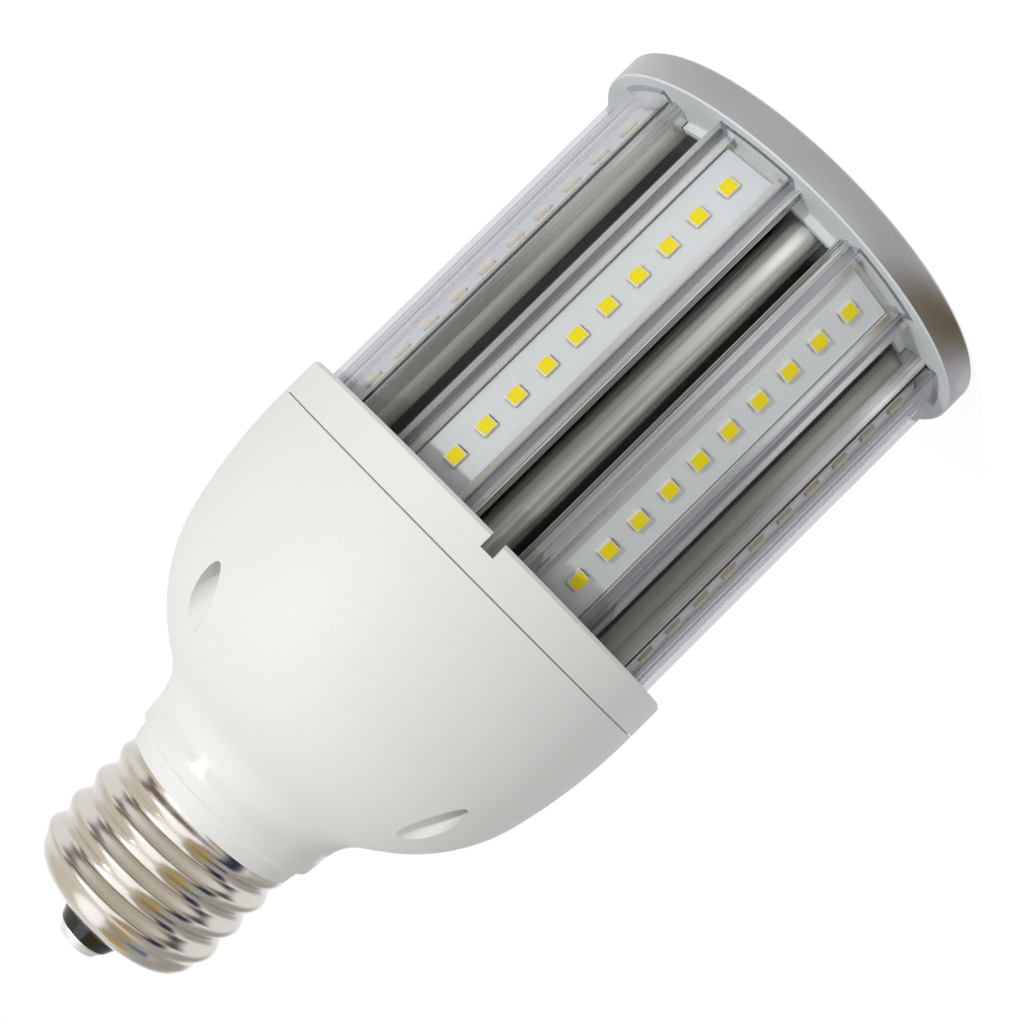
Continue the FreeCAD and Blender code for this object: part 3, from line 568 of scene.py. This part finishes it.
# Studio: a pale floor, an even white surround and two soft suns.
# Cards that only reflections see give the bare metal its dark and warm bands.
def seen_directly(tree):
    """A value of 1 for what the camera, a mirror or clear plastic shows of the surround."""
    rays = tree.nodes.new("ShaderNodeLightPath")
    total = tree.nodes.new("ShaderNodeMath")
    total.operation = "ADD"
    total.use_clamp = True
    rest = tree.nodes.new("ShaderNodeMath")
    rest.operation = "ADD"
    link(tree, rays, "Is Camera Ray", total, 0)
    link(tree, rays, "Is Glossy Ray", rest, 0)
    link(tree, rays, "Is Transmission Ray", rest, 1)
    link(tree, rest, 0, total, 1)
    unspread = tree.nodes.new("ShaderNodeMath")
    unspread.operation = "LESS_THAN"
    unspread.inputs[1].default_value = 0.5
    seen = tree.nodes.new("ShaderNodeMath")
    seen.operation = "MULTIPLY"
    link(tree, rays, "Diffuse Depth", unspread, 0)
    link(tree, total, 0, seen, 0)
    link(tree, unspread, 0, seen, 1)
    return seen


surround_light = 0.5
world = bpy.data.worlds.new("studio")
bpy.context.scene.world = world
world.use_nodes = True
tree = world.node_tree
soft = tree.nodes["Background"]
soft.inputs["Color"].default_value = (1, 1, 1, 1)
soft.inputs["Strength"].default_value = surround_light
white = tree.nodes.new("ShaderNodeBackground")
white.inputs["Color"].default_value = (1, 1, 1, 1)
white.inputs["Strength"].default_value = 1
either = mixed(tree, seen_directly(tree), 0, soft, white)
link(tree, either, 0, tree.nodes["World Output"], "Surface")

floor_reach = 6
floor_tone = (0.8, 0.8, 0.8, 1)
floor_seen_tone = (0.3, 0.3, 0.3, 1)
floor_seen_glow = 0.86
floor_mesh = bmesh.new()
bmesh.ops.create_grid(floor_mesh, x_segments=1, y_segments=1, size=floor_reach)
mesh = bpy.data.meshes.new("floor")
floor_mesh.to_mesh(mesh)
floor_mesh.free()
floor = bpy.data.objects.new("floor", mesh)
bpy.context.scene.collection.objects.link(floor)
pale_floor = bpy.data.materials.new("pale_floor")
pale_floor.use_nodes = True
tree = pale_floor.node_tree
tree.nodes.remove(tree.nodes["Principled BSDF"])
matt = tree.nodes.new("ShaderNodeBsdfDiffuse")
matt.inputs["Color"].default_value = floor_tone
faint = tree.nodes.new("ShaderNodeBsdfDiffuse")
faint.inputs["Color"].default_value = floor_seen_tone
glow = tree.nodes.new("ShaderNodeEmission")
glow.inputs["Strength"].default_value = floor_seen_glow
lit = tree.nodes.new("ShaderNodeAddShader")
link(tree, faint, 0, lit, 0)
link(tree, glow, 0, lit, 1)
either = mixed(tree, seen_directly(tree), 0, matt, lit)
link(tree, either, 0, tree.nodes["Material Output"], "Surface")
mesh.materials.append(pale_floor)


def add_sun(name, towards, strength, spread):
    """A soft lamp that shines from a direction."""
    lamp = bpy.data.lights.new(name, "SUN")
    lamp.energy = strength
    lamp.angle = math.radians(spread)
    sun = bpy.data.objects.new(name, lamp)
    sun.rotation_mode = "QUATERNION"
    sun.rotation_quaternion = Vector(towards).to_track_quat("Z", "Y")
    bpy.context.scene.collection.objects.link(sun)


add_sun("key", towards=(0.58, -0.7, 0.42), strength=1.4, spread=4)
add_sun("fill", towards=(-0.3, -0.9, 0.3), strength=0.12, spread=40)

card_cells = 10
card_edge_slope = 4


def add_card(name, centre, aim, width, height, colour, glow=1.0):
    """A flat card with soft edges that faces a point and shows only in reflections."""
    bm = bmesh.new()
    cover = bm.verts.layers.float.new("cover")
    made = bmesh.ops.create_grid(bm, x_segments=card_cells, y_segments=card_cells, size=0.5)["verts"]
    for vert in made:
        vert[cover] = min(1, card_edge_slope * (0.5 - max(abs(vert.co.x), abs(vert.co.y))))
    facing = (Vector(aim) - Vector(centre)).to_track_quat("Z", "Y").to_matrix().to_4x4()
    bmesh.ops.scale(bm, vec=(width, height, 1), verts=made)
    bm.transform(Matrix.Translation(centre) @ facing)
    mesh = bpy.data.meshes.new(name)
    bm.to_mesh(mesh)
    bm.free()
    card = bpy.data.objects.new(name, mesh)
    bpy.context.scene.collection.objects.link(card)
    material = bpy.data.materials.new(name)
    material.use_nodes = True
    tree = material.node_tree
    tree.nodes.remove(tree.nodes["Principled BSDF"])
    paint = tree.nodes.new("ShaderNodeEmission")
    paint.inputs["Color"].default_value = colour
    paint.inputs["Strength"].default_value = glow
    clear = tree.nodes.new("ShaderNodeBsdfTransparent")
    covered = tree.nodes.new("ShaderNodeAttribute")
    covered.attribute_name = "cover"
    either = mixed(tree, covered, "Fac", clear, paint)
    link(tree, either, 0, tree.nodes["Material Output"], "Surface")
    mesh.materials.append(material)
    card.visible_camera = False
    card.visible_diffuse = False
    card.visible_shadow = False


def hang_card(name, from_height, distance, turn, lift, wide, tall, colour, glow=1.0):
    """A card placed as seen from a height of the axis: degrees to the picture's right and up, and across."""
    across, up = math.radians(turn), math.radians(lift)
    eye = Vector((0, 0, from_height))
    towards = Vector((-math.sin(across) * math.cos(up), -math.cos(across) * math.cos(up), math.sin(up)))
    width, height = (2 * distance * math.tan(math.radians(angle / 2)) for angle in (wide, tall))
    add_card(name, eye + towards * distance, eye, width, height, colour, glow)


def lay_card(name, x, y, height, width, length, colour, glow=1.0):
    """A level card that faces up."""
    add_card(name, (x, y, height), (x, y, 1), width, length, colour, glow)


sink_middle = 0.045
for name, distance, turn, wide, tall, colour in (
    ("fin_light_card", 0.2, -12, 46, 26, shade(140, 139, 132)),
    ("fin_dark_card", 0.2, 24, 34, 26, shade(84, 88, 88)),
    ("left_side_card", 0.25, -76, 44, 30, shade(136, 128, 122)),
    ("right_side_card", 0.25, 70, 56, 32, shade(44, 44, 46)),
):
    hang_card(name, sink_middle, distance, turn, 0, wide, tall, colour)
base_middle = 0.165
for name, distance, turn, lift, wide, tall, colour, glow in (
    ("cream_card", 0.9, -82, 40, 84, 90, shade(234, 227, 212), 1),
    ("white_card", 0.9, -21, 42, 52, 100, shade(255, 255, 255), 1.5),
    ("tan_card", 0.9, 34, 40, 44, 90, shade(180, 169, 150), 1),
    ("stone_card", 0.9, 112, 35, 76, 80, shade(186, 182, 177), 1),
    ("navy_card", 0.8, 59, 10, 36, 66, shade(44, 44, 74), 1),
    ("sky_card", 0.78, 64, 47, 28, 22, shade(165, 188, 204), 1),
    ("amber_card", 0.76, 62, 68, 30, 34, shade(204, 172, 92), 1),
    ("plum_card", 0.8, -70, 6, 22, 30, shade(146, 124, 118), 1),
    ("brown_card_0", 0.3, -54, -12, 50, 22, shade(118, 100, 88), 1),
    ("brown_card_42", 0.3, -12, -12, 50, 22, shade(118, 100, 88), 1),
    ("brown_card_84", 0.3, 30, -12, 50, 22, shade(118, 100, 88), 1),
):
    hang_card(name, base_middle, distance, turn, lift, wide, tall, colour, glow)
lay_card("visor_card", -0.07, -0.16, 0.095, width=0.62, length=0.24, colour=shade(206, 197, 178))
lay_card("glint_card", -0.002, -0.078, 0.001, width=0.05, length=0.04, colour=shade(255, 255, 255), glow=1.8)
lay_card("floor_far_card", 0, -0.6, 0.0003, width=1.6, length=1.1, colour=shade(202, 201, 198))
lay_card("floor_grey_card", -0.015, -0.08, 0.0004, width=0.16, length=0.14, colour=shade(218, 218, 218))
lay_card("floor_end_card", -0.07, -0.01, 0.0004, width=0.08, length=0.07, colour=shade(212, 212, 218))
lay_card("floor_brown_card", -0.04, -0.042, 0.0005, width=0.045, length=0.045, colour=shade(128, 114, 78))


# Camera: a normal lens close to the lamp, aimed at the axis a little below the middle of its length.
# It is rolled so that the cap points up to the right, as in the photo.
lens_pixels = 1545.8
picture_pixels = 1024
sensor_width = 36
nearest = 0.01
aim_point = Vector((-0.00023, 0, 0.0759))
camera_distance = 0.2922
camera_turn = math.radians(2.5)
camera_rise = math.radians(2.2)
camera_roll = math.radians(225.35)
back = Vector((
    math.sin(camera_turn) * math.cos(camera_rise),
    -math.cos(camera_turn) * math.cos(camera_rise),
    math.sin(camera_rise),
))
lens = bpy.data.cameras.new("camera")
lens.sensor_width = sensor_width
lens.lens = sensor_width * lens_pixels / picture_pixels
lens.clip_start = nearest
camera = bpy.data.objects.new("camera", lens)
bpy.context.scene.collection.objects.link(camera)
upright = (-back).to_track_quat("-Z", "Y").to_matrix().to_4x4()
camera.matrix_world = (
    Matrix.Translation(aim_point + back * camera_distance) @ upright @ Matrix.Rotation(camera_roll, 4, "Z")
)
bpy.context.scene.camera = camera
bpy.context.scene.view_settings.view_transform = "Standard"
